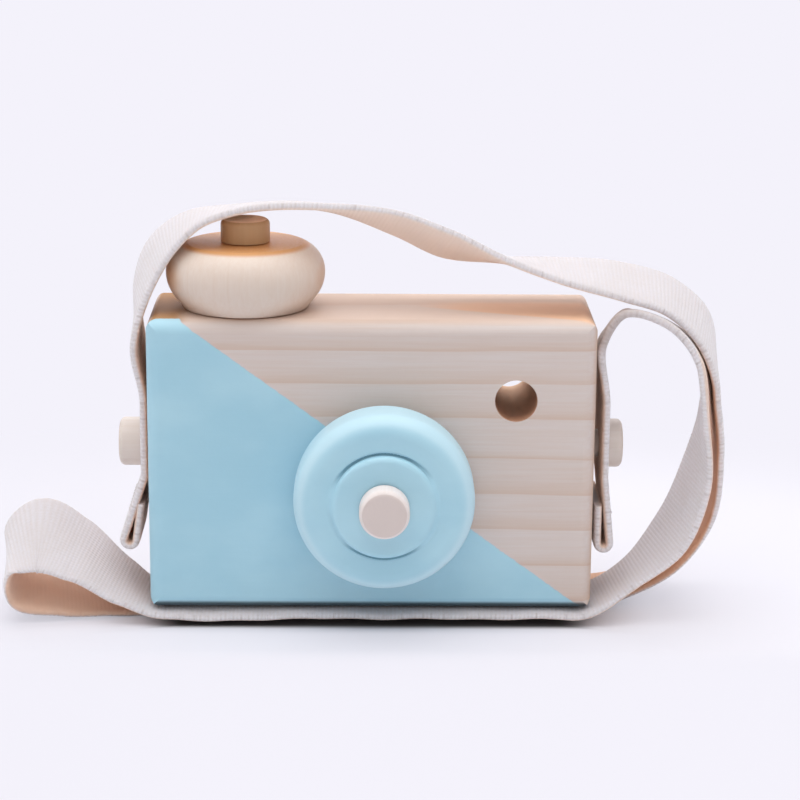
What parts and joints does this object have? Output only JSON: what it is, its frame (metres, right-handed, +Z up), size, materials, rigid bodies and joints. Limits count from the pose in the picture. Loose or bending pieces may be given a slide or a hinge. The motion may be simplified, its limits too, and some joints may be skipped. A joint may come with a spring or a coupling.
{
  "type": "wooden toy camera",
  "caption": "Wooden toy camera: rounded block with a painted corner, a turning lens, a turning winder knob, a look-through viewfinder and a cotton neck strap on pegs.",
  "frame": {"origin": "on the table, under the middle of the box round the block, the lens, the knob and the pegs", "axes": "+X to the right seen from the front, +Y to the back, +Z up; the lens faces -Y"},
  "size_m": [0.1581, 0.0524, 0.0914],
  "materials": {
    "block_wood": "sanded, oiled, one front corner painted pale blue",
    "blue_paint": "wood under satin pale blue paint",
    "knob_wood": "sanded, oiled",
    "peg_wood": "sanded",
    "strap_cotton": "undyed cotton webbing"
  },
  "bodies": {
    "camera": {"block": "block_wood", "lens_peg": "peg_wood", "knob_peg": "peg_wood", "left_strap_peg": "peg_wood", "right_strap_peg": "peg_wood", "strap_left_end": "strap_cotton", "strap_neck_run": "strap_cotton", "strap_lower_layer": "strap_cotton", "strap_left_loop": "strap_cotton", "strap_upper_layer": "strap_cotton", "strap_right_run": "strap_cotton", "strap_right_end": "strap_cotton"},
    "lens": {"lens_disc": "blue_paint", "lens_front_disc": "blue_paint"},
    "knob": {"winder_knob": "knob_wood"}
  },
  "joints": [
    {"name": "lens_turn", "type": "hinge", "parent": "camera", "child": "lens", "pos_m": [0.0027, -0.0128, 0.0311], "axis": [0, -1, 0], "continuous": true},
    {"name": "knob_turn", "type": "hinge", "parent": "camera", "child": "knob", "pos_m": [-0.027, 0.00923, 0.0743], "axis": [0, 0, 1], "continuous": true}
  ]
}
